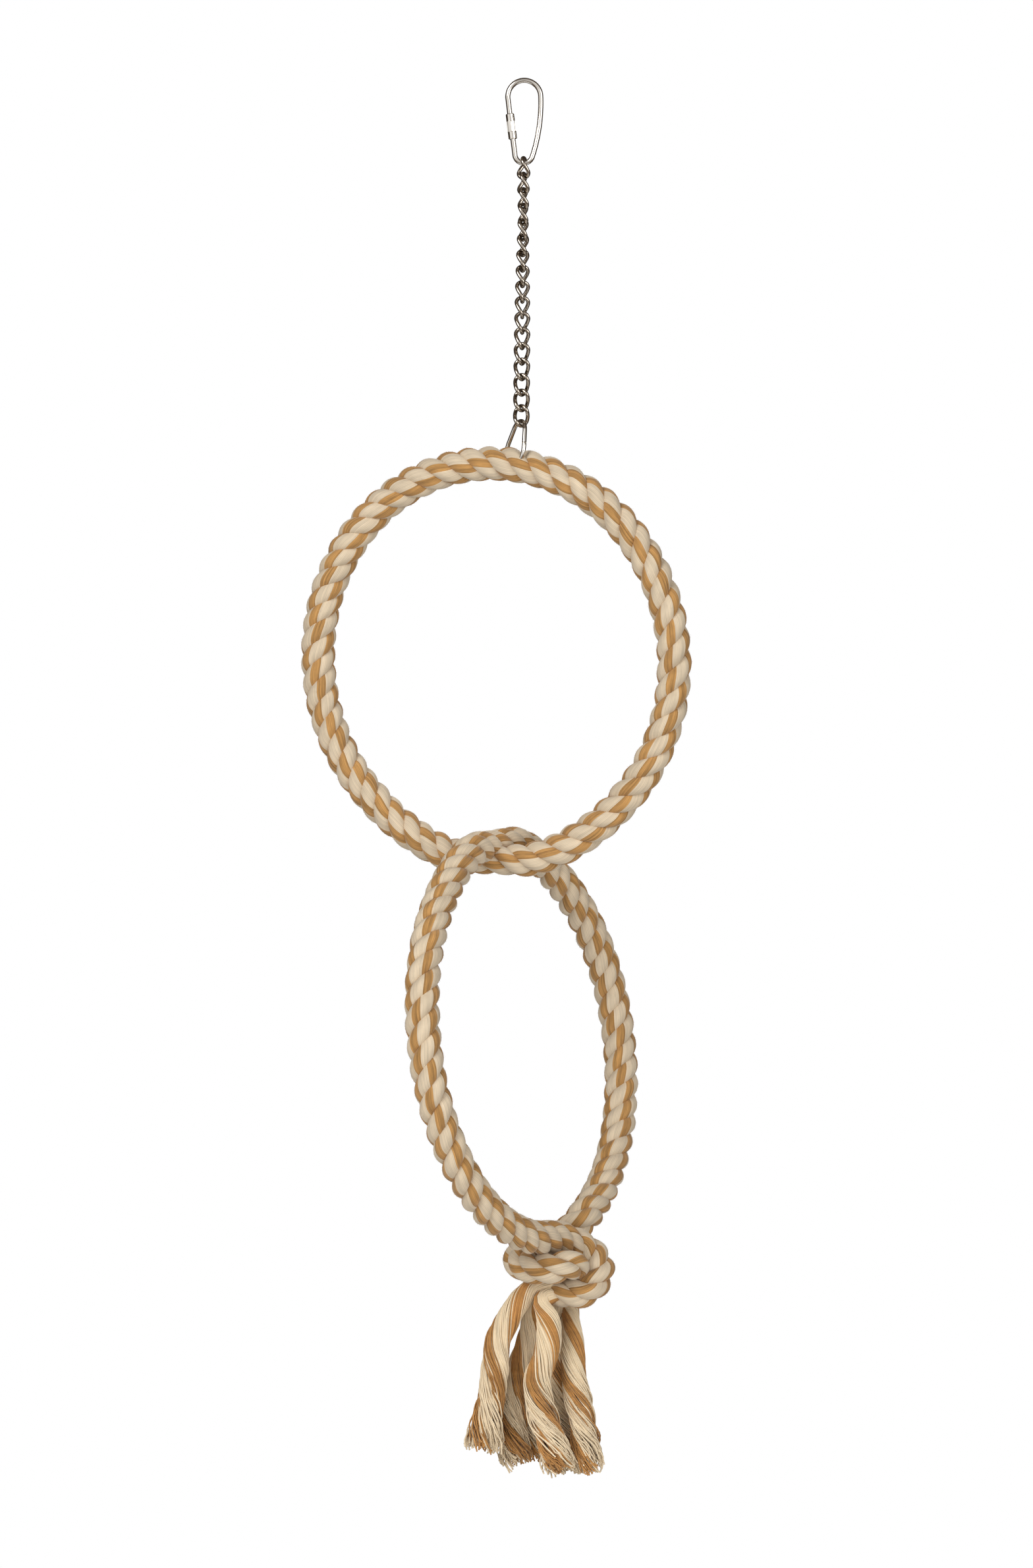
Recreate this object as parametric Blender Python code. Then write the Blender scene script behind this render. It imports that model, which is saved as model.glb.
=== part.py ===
"""Rope ring bird swing: a screw quick link, a twisted curb chain, a wire hanger and two linked rope rings.

Metres, +Z up, +X to the viewer's right, +Y away from the viewer. The origin is the inside top of the
quick link, where the hook that carries the swing bears.
"""
import math

import bmesh
import bpy
import numpy as np
from mathutils import Vector

MM = 0.001
DEG = math.pi / 180.0

# Fits
GAP = 0.3 * MM                      # clearance between pieces that touch

# Quick link: a pear of round wire whose left leg is closed by a sleeve nut
LINK_BODY_WIRE = 2.7 * MM           # wire diameter
LINK_BODY_TOP_R = 8.5 * MM          # centreline radius of the wide top bend
LINK_BODY_BOTTOM_R = 4.6 * MM       # centreline radius of the narrow bottom bend
LINK_BODY_BOW = 90.0 * MM           # centreline radius of the leg opposite the nut
LINK_BODY_LENGTH = 42.7 * MM        # centreline, top to bottom
LINK_BODY_MOUTH = 4.0 * MM          # gap in the left leg that the nut bridges
NUT_LENGTH = 13.1 * MM
NUT_DROP = 7.85 * MM                # from the top of the straight leg to the nut's upper end
NUT_LAP = 3.0 * MM                  # how far the nut covers the lower wire end
NUT_ROUND = 4.4 * MM                # diameter of the turned ends
NUT_FLATS = 4.5 * MM                # across the flats of the hexagon
NUT_HEX_LENGTH = 5.8 * MM

# Curb chain
CHAIN_LINKS = 17
CHAIN_PITCH = 8.0 * MM
CHAIN_WIRE = 2.0 * MM
CHAIN_INNER_WIDTH = 4.7 * MM
CHAIN_FIRST_TURN = 112.0 * DEG      # mean plane of the first link, from +X towards +Y
CHAIN_TURN_STEP = -7.0 * DEG        # each link is turned this much from the one above
CHAIN_TWIST = (90.0 * DEG + CHAIN_TURN_STEP) / 2.0  # half the twist from end to end of a link

# Wire hanger through the upper rope
HANGER_WIRE = 2.3 * MM
HANGER_TOP_R = 7.0 * MM
HANGER_BOTTOM_R = 10.0 * MM
HANGER_LENGTH = 25.4 * MM           # centreline, top to bottom
HANGER_TURN = 116.0 * DEG           # plane of the hanger, from +X towards +Y
HANGER_LEAN = 11.5 * DEG            # the rope grips it with its foot to the left
HANGER_BUTT = 0.5 * MM              # gap where the wire's two ends meet
HANGER_BUTT_DROP = 6.85 * MM        # from the top of the straight leg to that gap

# Rope rings, both made to one size
ROPE_DIAMETER = 17.6 * MM
RING_LONG = 101.8 * MM              # centreline half-axes of the slightly oval ring
RING_SHORT = 95.4 * MM
CORE_WIRE = 2.0 * MM                # wire inside the rope that holds it round
NECK_DIAMETER = 11.0 * MM           # rope pressed thin where the rings bear on each other
NECK_REACH = 26.0 * MM              # length over which a rope regains its full size
NECK_SLOPE_ROOM = 0.4 * MM          # the lower rope slopes where it bears, so its middle stands higher

# Upper ring: its plane, its oval's lean and where the hanger and the lower ring meet it
UPPER_YAW = -16.0 * DEG
UPPER_PITCH = -0.5 * DEG
UPPER_LEAN = -13.8 * DEG
UPPER_HANG = 4.9 * DEG              # from the ring's top
UPPER_CROSS = 180.0 * DEG
UPPER_SAG = 3.8 * MM                # the lower ring's pull draws the pressed rope down here

# Lower ring, with the rope's two ends knotted at its foot
LOWER_YAW = 58.5 * DEG
LOWER_PITCH = 9.5 * DEG             # its top leans away
LOWER_LEAN = 14.5 * DEG
LOWER_CROSS = -2.2 * DEG            # where it bears on the upper ring, from its own top
LOWER_PEAK = 3.7 * MM               # the loaded ring is drawn up to a low peak there
PEAK_REACH = 44.0 * DEG             # how far round a ring its peak or sag reaches
LOWER_REAR_END = 158.0 * DEG        # the rope's rear end leaves the oval here for the knot
LOWER_FRONT_END = -180.0 * DEG      # and its front end here

KNOT_LEAD = 4.0 * MM                # the rope runs on straight this far before it turns into the knot
KNOT_LEAD_RADIUS = 7.8 * MM

# Knot: routes of the two rope ends from the ring to the tassel, in mm from the ring's foot, each with the
# rope's radius there
KNOT_FRONT_ROUTE = (
    ((9.9, 12.2, -3.0), 7.2),
    ((20.8, 15.5, -8.0), 6.8),
    ((26.4, 7.4, -18.2), 6.8),
    ((19.6, 0.4, -27.8), 6.8),
    ((10.4, 1.4, -29.0), 6.5),
    ((2.0, 3.6, -28.6), 6.2),
)
KNOT_REAR_ROUTE = (
    ((4.9, 27.7, -4.0), 7.0),
    ((-7.6, 22.7, -9.0), 7.2),
    ((-16.1, 10.2, -12.0), 7.2),
    ((-11.6, -3.0, -15.6), 7.0),
    ((1.9, -11.0, -15.1), 7.0),
    ((12.4, -6.0, -13.2), 6.6),
    ((13.3, 5.0, -16.2), 5.8),
    ((10.9, 14.8, -21.4), 5.8),
    ((9.0, 20.8, -28.4), 6.2),
    ((8.2, 22.6, -35.4), 6.4),
)

# Tassel: three unlaid strands from each rope end: the end, the strand's place round its axis in degrees, and
# its route and radii in mm from the ring's foot
TAIL_ROOT_RADIUS = 2.7 * MM
TAIL_ROOT_RING = 3.4 * MM           # the three roots stand on this radius round the rope's axis
TAIL_LEAD = 2.5 * MM
TAIL_ROUTES = (
    ("front", 90.0, (((-8.4, 4.4, -25.4), 3.8), ((-15.4, 2.6, -33.0), 5.6), ((-22.0, 0.6, -44.0), 6.2),
                     ((-26.9, -0.4, -56.0), 6.2), ((-27.8, 0.2, -72.0), 6.2), ((-30.4, 1.2, -88.4), 6.6),
                     ((-34.2, 2.2, -109.4), 7.6))),
    ("front", -30.0, (((-7.4, 9.4, -35.0), 3.8), ((-9.4, 13.2, -45.6), 4.8), ((-11.4, 14.2, -56.0), 5.2),
                      ((-17.8, 14.8, -74.0), 6.0), ((-19.4, 15.6, -93.0), 6.6),
                      ((-16.0, 16.2, -118.4), 7.2))),
    ("front", 210.0, (((-4.4, -1.4, -34.2), 3.4), ((-0.4, -4.6, -42.8), 6.0), ((-0.8, -6.0, -58.0), 6.4),
                      ((-6.2, -5.4, -74.0), 6.4), ((-3.4, -5.0, -90.4), 6.6), ((2.6, -5.4, -106.4), 7.0),
                      ((6.6, -5.8, -119.4), 7.4))),
    ("rear", 300.0, (((11.6, 15.8, -46.4), 4.4), ((12.4, 8.6, -58.4), 6.0), ((13.0, 5.0, -74.0), 6.2),
                     ((17.4, 4.0, -93.2), 6.6), ((20.6, 4.4, -119.9), 7.2))),
    ("rear", 60.0, (((8.1, 27.4, -48.4), 4.6), ((4.6, 20.2, -62.4), 5.8), ((5.2, 17.4, -83.4), 6.2),
                    ((11.2, 18.2, -121.9), 7.2))),
    ("rear", 180.0, (((-3.9, 23.9, -48.4), 4.4), ((-8.8, 29.8, -63.4), 5.8), ((-8.4, 31.2, -87.4), 6.4),
                     ((-6.4, 31.2, -117.4), 7.2))),
)

# Resolution
BEND_STEPS = 8                      # steps in each half turn of bent wire
RING_STEPS = 72                     # steps round a rope ring
CORE_STEPS = 60                     # steps round a core wire
ROUTE_STEPS = 3                     # steps between two points of a hand-set route
NUT_SIDES = 24


def clear_scene():
    for obj in list(bpy.data.objects):
        bpy.data.objects.remove(obj, do_unlink=True)


def collection(name):
    group = bpy.data.collections.new(name)
    bpy.context.scene.collection.children.link(group)
    return group


def material(name, color, roughness, metallic):
    mat = bpy.data.materials.new(name)
    mat.use_nodes = True
    shader = mat.node_tree.nodes["Principled BSDF"]
    shader.inputs["Base Color"].default_value = (*color, 1.0)
    shader.inputs["Roughness"].default_value = roughness
    shader.inputs["Metallic"].default_value = metallic
    return mat


def window(distance, reach):
    """1 at the middle, falling smoothly to 0 at the reach."""
    if abs(distance) >= reach:
        return 0.0
    return math.cos(0.5 * math.pi * distance / reach) ** 2


def smooth_route(stations):
    """Catmull-Rom points and radii through hand-set stations of (point, radius)."""
    points = [Vector(p) for p, _ in stations]
    radii = [r for _, r in stations]
    points = [2 * points[0] - points[1]] + points + [2 * points[-1] - points[-2]]
    radii = [radii[0]] + radii + [radii[-1]]
    out = []
    for i in range(1, len(points) - 2):
        a, b, c, d = points[i - 1:i + 3]
        for step in range(ROUTE_STEPS):
            t = step / ROUTE_STEPS
            p = 0.5 * (2 * b + (c - a) * t + (2 * a - 5 * b + 4 * c - d) * t ** 2
                       + (3 * b - a - 3 * c + d) * t ** 3)
            out.append((p, radii[i] + (radii[i + 1] - radii[i]) * t))
    out.append((points[-2], radii[-2]))
    return out


def least_gap(route):
    """Smallest clearance between stretches of one tube that aren't neighbours along it."""
    points = np.array([tuple(p) for p, _ in route])
    radii = np.array([r for _, r in route])
    along = np.concatenate([[0.0], np.cumsum(np.linalg.norm(np.diff(points, axis=0), axis=1))])
    best = math.inf
    for i in range(len(points)):
        far = along > along[i] + math.pi * radii[i] * 1.6
        if far.any():
            clear = np.linalg.norm(points[far] - points[i], axis=1) - radii[far] - radii[i]
            best = min(best, float(clear.min()))
    return best


def tube(name, points, diameter, mat, group, pivot=None, cyclic=False, sides=8, radii=None):
    """A round bar along the points; its origin is the pivot."""
    pivot = Vector(pivot) if pivot is not None else Vector((0.0, 0.0, 0.0))
    curve = bpy.data.curves.new(name, "CURVE")
    curve.dimensions = "3D"
    curve.bevel_depth = diameter / 2.0
    curve.bevel_resolution = (sides - 4) // 2
    curve.use_fill_caps = True
    spline = curve.splines.new("POLY")
    spline.points.add(len(points) - 1)
    for i, p in enumerate(points):
        spline.points[i].co = (*(Vector(p) - pivot), 1.0)
        if radii is not None:
            spline.points[i].radius = radii[i] / (diameter / 2.0)
    spline.use_cyclic_u = cyclic
    spline.use_smooth = True
    curve.materials.append(mat)
    obj = bpy.data.objects.new(name, curve)
    obj.location = pivot
    group.objects.link(obj)
    return obj


def as_mesh(obj):
    """Swap a curve for its mesh, with the caps welded on."""
    bpy.context.view_layer.update()
    depsgraph = bpy.context.evaluated_depsgraph_get()
    mesh = bpy.data.meshes.new_from_object(obj.evaluated_get(depsgraph))
    bm = bmesh.new()
    bm.from_mesh(mesh)
    bmesh.ops.remove_doubles(bm, verts=bm.verts, dist=0.00001)
    bmesh.ops.recalc_face_normals(bm, faces=bm.faces)
    for face in bm.faces:
        face.smooth = len(face.verts) == 4
    bm.to_mesh(mesh)
    bm.free()
    solid = bpy.data.objects.new(obj.name + "_solid", mesh)
    solid.matrix_world = obj.matrix_world.copy()
    for group in obj.users_collection:
        group.objects.link(solid)
    name = obj.name
    bpy.data.objects.remove(obj, do_unlink=True)
    solid.name = name
    return solid


def cut(obj, cutter):
    boolean = obj.modifiers.new("cut " + cutter.name, "BOOLEAN")
    boolean.operation = "DIFFERENCE"
    boolean.solver = "EXACT"
    boolean.object = cutter


def as_cutter(obj):
    obj = as_mesh(obj)
    obj.hide_render = True
    obj.display_type = "WIRE"
    return obj


def pear_wire(top_r, bottom_r, length, mouth_top, mouth, bow=None):
    """Open pear of wire in (side, height), top of the centreline at height 0.

    The mouth is on the leg with negative side, mouth_top below the upper end of that straight leg. The other
    leg is straight too, or bowed out to a radius.
    """
    spread = length - top_r - bottom_r
    lean = math.asin((bottom_r - top_r) / spread)
    top = Vector((0.0, -top_r))
    bottom = Vector((0.0, bottom_r - length))

    def arc(centre, radius, start, end):
        return [centre + radius * Vector((math.cos(a), math.sin(a)))
                for a in np.linspace(start, end, BEND_STEPS * 2 + 1)]

    leg = []
    leg_top = leg_bottom = lean
    if bow:
        to_top = bow - top_r
        to_bottom = bow - bottom_r
        drop = (to_top ** 2 + spread ** 2 - to_bottom ** 2) / (2.0 * spread)
        middle = top - Vector((math.sqrt(to_top ** 2 - drop ** 2), drop))
        leg_top = math.atan2(top.y - middle.y, top.x - middle.x)
        leg_bottom = math.atan2(bottom.y - middle.y, bottom.x - middle.x)
        leg = arc(middle, bow, leg_bottom, leg_top)[2:-1:3]
    lower = arc(bottom, bottom_r, math.pi - lean, 2.0 * math.pi + leg_bottom)
    upper = arc(top, top_r, leg_top, math.pi - lean)
    down = (lower[0] - upper[-1]).normalized()
    end_low = upper[-1] + down * (mouth_top + mouth)
    end_high = upper[-1] + down * mouth_top
    return [end_low] + lower + leg + upper + [end_high], upper[-1], down


def sleeve_nut(mat, group, pivot, down):
    """Sleeve with turned ends and a hexagon in the middle, bored for the wire."""
    bore = LINK_BODY_WIRE / 2.0 + GAP
    hex_top = (NUT_LENGTH - NUT_HEX_LENGTH) / 2.0
    angles = [2.0 * math.pi * i / NUT_SIDES for i in range(NUT_SIDES)]
    hexagon = [NUT_FLATS / 2.0 / math.cos((a % (math.pi / 3.0)) - math.pi / 6.0) for a in angles]
    turned = [NUT_ROUND / 2.0] * NUT_SIDES
    inner = [bore] * NUT_SIDES
    rings = ((0.0, inner), (0.0, turned), (hex_top, turned), (hex_top, hexagon),
             (NUT_LENGTH - hex_top, hexagon), (NUT_LENGTH - hex_top, turned),
             (NUT_LENGTH, turned), (NUT_LENGTH, inner))
    axis = Vector((down.x, 0.0, down.y))
    across = Vector((0.0, 1.0, 0.0))
    side = axis.cross(across)
    bm = bmesh.new()
    loops = []
    for depth, radii in rings:
        loops.append([bm.verts.new(axis * depth + r * (math.cos(a) * across + math.sin(a) * side))
                      for a, r in zip(angles, radii)])
    for one, two in zip(loops, loops[1:] + loops[:1]):
        for i in range(NUT_SIDES):
            j = (i + 1) % NUT_SIDES
            bm.faces.new((one[i], one[j], two[j], two[i]))
    bmesh.ops.recalc_face_normals(bm, faces=bm.faces)
    mesh = bpy.data.meshes.new("quick_link_nut")
    bm.to_mesh(mesh)
    bm.free()
    mesh.materials.append(mat)
    obj = bpy.data.objects.new("quick_link_nut", mesh)
    obj.location = pivot
    group.objects.link(obj)
    return obj


def curb_link(plane, top):
    """Centreline of one link twisted about its length, hung from the height of its top."""
    half_width = (CHAIN_INNER_WIDTH + CHAIN_WIRE) / 2.0
    half_length = (CHAIN_PITCH + GAP + CHAIN_WIRE) / 2.0
    leg = half_length - half_width
    flat = []
    for i in range(BEND_STEPS - 1):
        a = math.pi * i / (BEND_STEPS - 2)
        flat.append((half_width * math.cos(a), leg + half_width * math.sin(a)))
    flat.append((-half_width, 0.0))
    flat += [(-x, -z) for x, z in flat[:BEND_STEPS - 1]]
    flat.append((half_width, 0.0))
    points = []
    for x, z in flat:
        share = z / half_length
        turn = plane - CHAIN_TWIST * (1.5 * share - 0.5 * share ** 3)
        points.append(Vector((x * math.cos(turn), x * math.sin(turn), top - half_length + z)))
    return points


class Oval:
    """A slightly oval ring in a plane turned by yaw about Z and leaned back by pitch."""

    def __init__(self, yaw, pitch, lean, peak_at=0.0, peak=0.0):
        self.along = Vector((math.cos(yaw), math.sin(yaw), 0.0))
        self.up = Vector((-math.sin(pitch) * math.sin(yaw), math.sin(pitch) * math.cos(yaw), math.cos(pitch)))
        self.lean = lean
        self.peak_at = peak_at
        self.peak = peak
        self.centre = Vector((0.0, 0.0, 0.0))

    def offset(self, angle):
        """From the centre to the centreline, at an angle from the ring's top towards +along."""
        a = angle - self.lean
        radius = RING_LONG * RING_SHORT / math.hypot(RING_SHORT * math.cos(a), RING_LONG * math.sin(a))
        radius += self.peak * window(angle - self.peak_at, PEAK_REACH)
        return radius * (math.sin(angle) * self.along + math.cos(angle) * self.up)

    def place(self, angle, point):
        self.centre = Vector(point) - self.offset(angle)

    def point(self, angle):
        return self.centre + self.offset(angle)


def rope_radii(points, nip):
    """Rope radius at each point, pressed thin round the place where the two rings bear."""
    full = ROPE_DIAMETER / 2.0
    neck = NECK_DIAMETER / 2.0
    return [full - (full - neck) * window((p - nip).length, NECK_REACH) for p in points]


clear_scene()
parts = collection("rope_ring_bird_swing")
cutters = collection("cutters")
nickel = material("nickel_plate", (0.62, 0.58, 0.53), 0.18, 1.0)
steel = material("core_steel", (0.42, 0.41, 0.39), 0.35, 1.0)
cotton = material("cotton_rope", (0.74, 0.61, 0.42), 0.92, 0.0)

# Quick link, in the XZ plane
pear, leg_top, leg_down = pear_wire(LINK_BODY_TOP_R, LINK_BODY_BOTTOM_R, LINK_BODY_LENGTH,
                                    NUT_DROP + NUT_LENGTH - NUT_LAP - LINK_BODY_MOUTH, LINK_BODY_MOUTH,
                                    LINK_BODY_BOW)
body_top = LINK_BODY_WIRE / 2.0
tube("quick_link_body", [(s, 0.0, body_top + h) for s, h in pear], LINK_BODY_WIRE, nickel, parts)
nut_end = leg_top + leg_down * NUT_DROP
sleeve_nut(nickel, parts, (nut_end.x, 0.0, body_top + nut_end.y), leg_down)

# Chain, each link hung in the one above; odd links turn on the upper wire and even ones on their own
hang_wire = body_top - LINK_BODY_LENGTH
hang_radius = LINK_BODY_WIRE / 2.0
for number in range(1, CHAIN_LINKS + 1):
    plane = CHAIN_FIRST_TURN + (number - 1) * CHAIN_TURN_STEP
    top = hang_wire + hang_radius + GAP + CHAIN_WIRE / 2.0
    pivot = (0.0, 0.0, hang_wire if number % 2 else top)
    tube("chain_link_%02d" % number, curb_link(plane, top), CHAIN_WIRE, nickel, parts,
         pivot=pivot, cyclic=True, sides=6)
    hang_wire = top - (CHAIN_PITCH + GAP + CHAIN_WIRE)
    hang_radius = CHAIN_WIRE / 2.0

# Wire hanger, in the last link and through the rope under its core
hanger_top = hang_wire + hang_radius + GAP + HANGER_WIRE / 2.0
upper_pivot = Vector((0.0, 0.0, hanger_top))
hanger_up = Vector((math.sin(HANGER_LEAN), 0.0, math.cos(HANGER_LEAN)))
hanger_axis = Vector((math.cos(HANGER_TURN), math.sin(HANGER_TURN), 0.0))
hanger_axis = (hanger_axis - hanger_up * hanger_axis.dot(hanger_up)).normalized()
teardrop, _, _ = pear_wire(HANGER_TOP_R, HANGER_BOTTOM_R, HANGER_LENGTH,
                           HANGER_BUTT_DROP, HANGER_BUTT)
hanger_points = [upper_pivot + hanger_axis * s + hanger_up * h for s, h in teardrop]
tube("hanger_wire", hanger_points, HANGER_WIRE, nickel, parts, pivot=upper_pivot)
core_rest = HANGER_LENGTH - HANGER_WIRE / 2.0 - GAP - CORE_WIRE / 2.0

# Upper ring
upper = Oval(UPPER_YAW, UPPER_PITCH, UPPER_LEAN, UPPER_CROSS, UPPER_SAG)
upper.place(UPPER_HANG, upper_pivot - hanger_up * core_rest)
upper_nip = upper.point(UPPER_CROSS)
upper_path = [upper.point(2.0 * math.pi * i / RING_STEPS) for i in range(RING_STEPS)]
upper_core_path = [upper.point(2.0 * math.pi * i / CORE_STEPS) for i in range(CORE_STEPS)]
upper_rope = as_mesh(tube("upper_ring_rope", upper_path, ROPE_DIAMETER, cotton, parts, pivot=upper_pivot,
                          cyclic=True, sides=12, radii=rope_radii(upper_path, upper_nip)))
tube("upper_ring_core", upper_core_path, CORE_WIRE, steel, parts, pivot=upper_pivot, cyclic=True, sides=6)
cut(upper_rope, as_cutter(tube("cutter_upper_core", upper_core_path, CORE_WIRE + 2.0 * GAP, steel, cutters,
                               cyclic=True, sides=6)))
cut(upper_rope, as_cutter(tube("cutter_hanger", hanger_points, HANGER_WIRE + 2.0 * GAP, steel, cutters)))

# Lower ring, linked through the upper one
lower = Oval(LOWER_YAW, LOWER_PITCH, LOWER_LEAN, LOWER_CROSS, LOWER_PEAK)
lower_nip = upper_nip + Vector((0.0, 0.0, NECK_DIAMETER + GAP + NECK_SLOPE_ROOM))
lower.place(LOWER_CROSS, lower_nip)
rear_half = np.linspace(LOWER_REAR_END, LOWER_CROSS, RING_STEPS // 2)
front_half = np.linspace(LOWER_CROSS, LOWER_FRONT_END, RING_STEPS // 2)
lower_path = [lower.point(a) for a in (*rear_half, *front_half[1:])]
core_path = [lower.point(a) for a in np.linspace(LOWER_REAR_END, LOWER_FRONT_END, CORE_STEPS)]
foot = lower.point(math.pi)
rear_out = (lower_path[0] - lower_path[1]).normalized()
front_out = (lower_path[-1] - lower_path[-2]).normalized()
lower_rope = as_mesh(tube("lower_ring_rope", lower_path, ROPE_DIAMETER, cotton, parts, pivot=upper_nip,
                          sides=12, radii=rope_radii(lower_path, lower_nip)))
bore_run_out = 2.0 * CORE_WIRE
tube("lower_ring_core", core_path[1:-1], CORE_WIRE, steel, parts, pivot=upper_nip, sides=6)
bore_path = [core_path[0] + rear_out * bore_run_out] + core_path
bore_path += [core_path[-1] + front_out * bore_run_out]
cut(lower_rope, as_cutter(tube("cutter_lower_core", bore_path, CORE_WIRE + 2.0 * GAP, steel, cutters, sides=6)))


def knot_end(name, angle, outward, stations):
    """One rope end, square to the ring's end face and then along its route through the knot.

    Returns the tip and the direction in which the rope points there.
    """
    start = lower.point(angle) + outward * GAP
    lead = (start + outward * KNOT_LEAD, KNOT_LEAD_RADIUS)
    route = [(start, KNOT_LEAD_RADIUS)]
    route += smooth_route([lead] + [(foot + Vector(p) * MM, r * MM) for p, r in stations])
    print(name, "least gap to itself %.2f mm" % (least_gap(route) / MM))
    tube(name, [p for p, _ in route], ROPE_DIAMETER, cotton, parts, pivot=upper_nip,
         sides=10, radii=[r for _, r in route])
    return route[-1][0], (route[-1][0] - route[-2][0]).normalized()


tips = {
    "front": knot_end("knot_front_end", LOWER_FRONT_END, front_out, KNOT_FRONT_ROUTE),
    "rear": knot_end("knot_rear_end", LOWER_REAR_END, rear_out, KNOT_REAR_ROUTE),
}

# Tassel, each strand square to the rope end it was unlaid from and then along its route
for number, (end, place, stations) in enumerate(TAIL_ROUTES, 1):
    tip, outward = tips[end]
    side = outward.cross(Vector((0.0, 0.0, 1.0))).normalized()
    offset = TAIL_ROOT_RING * (math.cos(place * DEG) * side + math.sin(place * DEG) * side.cross(outward))
    root = tip + outward * GAP + offset
    lead = (root + outward * TAIL_LEAD, TAIL_ROOT_RADIUS)
    route = [(root, TAIL_ROOT_RADIUS)]
    route += smooth_route([lead] + [(foot + Vector(p) * MM, r * MM) for p, r in stations])
    tube("tail_strand_%d" % number, [p for p, _ in route], 2.0 * TAIL_ROOT_RADIUS, cotton, parts,
         pivot=upper_nip, radii=[r for _, r in route])
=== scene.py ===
"""Looks of the rope ring bird swing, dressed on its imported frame.

Metres, +Z up, +X to the viewer's right, +Y away from the viewer.
The origin is the inside top of the quick link.
"""

import math

import bpy
import bmesh
import numpy as np
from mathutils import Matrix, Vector


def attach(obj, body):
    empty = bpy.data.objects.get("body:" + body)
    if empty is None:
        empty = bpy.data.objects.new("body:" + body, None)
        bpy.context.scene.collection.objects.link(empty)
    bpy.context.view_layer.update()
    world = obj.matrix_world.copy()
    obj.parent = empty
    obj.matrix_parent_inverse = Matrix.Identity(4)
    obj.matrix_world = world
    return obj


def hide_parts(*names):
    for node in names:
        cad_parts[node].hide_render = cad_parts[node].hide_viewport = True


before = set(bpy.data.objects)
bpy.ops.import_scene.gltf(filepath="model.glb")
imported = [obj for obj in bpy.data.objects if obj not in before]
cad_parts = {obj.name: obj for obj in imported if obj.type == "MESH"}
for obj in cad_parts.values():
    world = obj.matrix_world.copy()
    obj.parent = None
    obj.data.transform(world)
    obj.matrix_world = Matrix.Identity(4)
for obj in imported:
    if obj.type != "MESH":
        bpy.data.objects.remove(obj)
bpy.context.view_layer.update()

MM = 0.001
DEG = math.pi / 180.0
TAU = 2.0 * math.pi

# Photograph
IMAGE_LONG_SIDE = 2380
FOCAL_PIXELS = 8824
FILM_WIDTH = 36.0
VIEW_DEPTH = 50.0
EYE = (-0.00073, -3.0, -0.3618)
ROLL = -0.53 * DEG

# Sizes shared with the CAD model
GAP = 0.3 * MM
LINK_BODY_WIRE = 2.7 * MM
LINK_BODY_TOP_R = 8.5 * MM
LINK_BODY_BOTTOM_R = 4.6 * MM
LINK_BODY_BOW = 90.0 * MM
LINK_BODY_LENGTH = 42.7 * MM
LINK_BODY_MOUTH = 4.0 * MM
NUT_LENGTH = 13.1 * MM
NUT_DROP = 7.85 * MM
NUT_LAP = 3.0 * MM
NUT_ROUND = 4.4 * MM
NUT_FLATS = 4.5 * MM
NUT_HEX_LENGTH = 5.8 * MM
CHAIN_LINKS = 17
CHAIN_PITCH = 8.0 * MM
CHAIN_WIRE = 2.0 * MM
CHAIN_INNER_WIDTH = 4.7 * MM
CHAIN_FIRST_TURN = 112.0 * DEG
CHAIN_TURN_STEP = -7.0 * DEG
CHAIN_TWIST = (90.0 * DEG + CHAIN_TURN_STEP) / 2.0
HANGER_WIRE = 2.3 * MM
HANGER_TOP_R = 7.0 * MM
HANGER_BOTTOM_R = 10.0 * MM
HANGER_LENGTH = 25.4 * MM
HANGER_TURN = 116.0 * DEG
HANGER_LEAN = 11.5 * DEG
HANGER_BUTT = 0.5 * MM
HANGER_BUTT_DROP = 6.85 * MM
ROPE_DIAMETER = 17.6 * MM
RING_LONG = 101.8 * MM
RING_SHORT = 95.4 * MM
CORE_WIRE = 2.0 * MM
NECK_DIAMETER = 11.0 * MM
NECK_REACH = 26.0 * MM
NECK_SLOPE_ROOM = 0.4 * MM
UPPER_YAW = -16.0 * DEG
UPPER_LEAN = -13.8 * DEG
UPPER_PITCH = -0.5 * DEG
UPPER_HANG = 4.9 * DEG
UPPER_CROSS = 180.0 * DEG
UPPER_SAG = 3.8 * MM
LOWER_YAW = 58.5 * DEG
LOWER_PITCH = 9.5 * DEG
LOWER_LEAN = 14.5 * DEG
LOWER_CROSS = -2.2 * DEG
LOWER_PEAK = 3.7 * MM
PEAK_REACH = 44.0 * DEG
LOWER_REAR_END = 158.0 * DEG
LOWER_FRONT_END = -180.0 * DEG
HALF_RING_STEPS = 35                # steps of the lower rope from either end to the crossing
ROUTE_STEPS = 3                     # steps between two stations of the knot
KNOT_LEAD = 4.0 * MM
KNOT_LEAD_RADIUS = 7.8 * MM
TAIL_ROOT_RADIUS = 2.7 * MM
TAIL_ROOT_RING = 3.4 * MM
TAIL_LEAD = 2.5 * MM

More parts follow.
